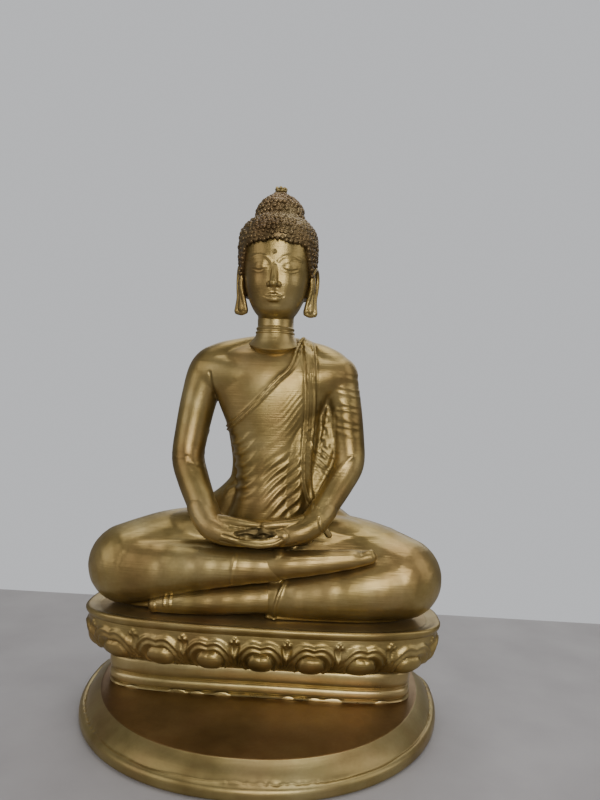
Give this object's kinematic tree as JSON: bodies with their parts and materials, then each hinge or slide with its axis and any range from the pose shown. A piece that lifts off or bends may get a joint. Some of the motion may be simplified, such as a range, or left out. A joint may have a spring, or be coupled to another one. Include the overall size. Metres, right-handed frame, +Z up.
{
  "type": "seated devotional statue",
  "caption": "Cross-legged seated figure with hands in its lap, on an oval petal throne and a wide rounded base plate with a deep front apron.",
  "frame": {"origin": "middle of the base plate on its resting face", "axes": "+Z up, -Y towards the front that the figure faces, +X to the figure's left hand"},
  "size_m": [0.141, 0.101, 0.2074],
  "materials": {
    "gold_paint": "satin metallic gold paint on moulded resin",
    "dark_gold_paint": "thin matt gold paint, darker on flat decks",
    "pale_gold_paint": "satin pale gold paint",
    "hair_gold_paint": "satin gold paint over fine curls",
    "cover_plastic": "plain moulded plastic",
    "felt": "thin pressed felt",
    "screw_steel": "zinc-plated screws",
    "weight_iron": "bare iron bar",
    "dowel_plastic": "plain moulded peg"
  },
  "bodies": {
    "root": {"base_plate": "pale_gold_paint", "base_cover": "cover_plastic", "base_felt": "felt", "cover_screws": "screw_steel", "ballast_weight": "weight_iron", "throne_plinth": "pale_gold_paint", "throne_screws": "screw_steel", "lotus_ring": "gold_paint", "seat_deck": "dark_gold_paint", "figure_screws": "screw_steel", "lap_shell": "gold_paint", "left_leg": "gold_paint", "left_foot": "gold_paint", "right_leg": "gold_paint", "right_foot": "gold_paint", "body_front_shell": "gold_paint", "body_rear_shell": "gold_paint", "robe_sash": "gold_paint", "left_hand": "gold_paint", "right_hand": "gold_paint", "neck_collar": "gold_paint", "neck_dowel": "dowel_plastic", "head_front_shell": "gold_paint", "head_rear_shell": "gold_paint", "hair_cap": "hair_gold_paint", "ushnisha": "hair_gold_paint", "finial": "pale_gold_paint", "left_ear": "gold_paint", "right_ear": "gold_paint"}
  },
  "joints": []
}
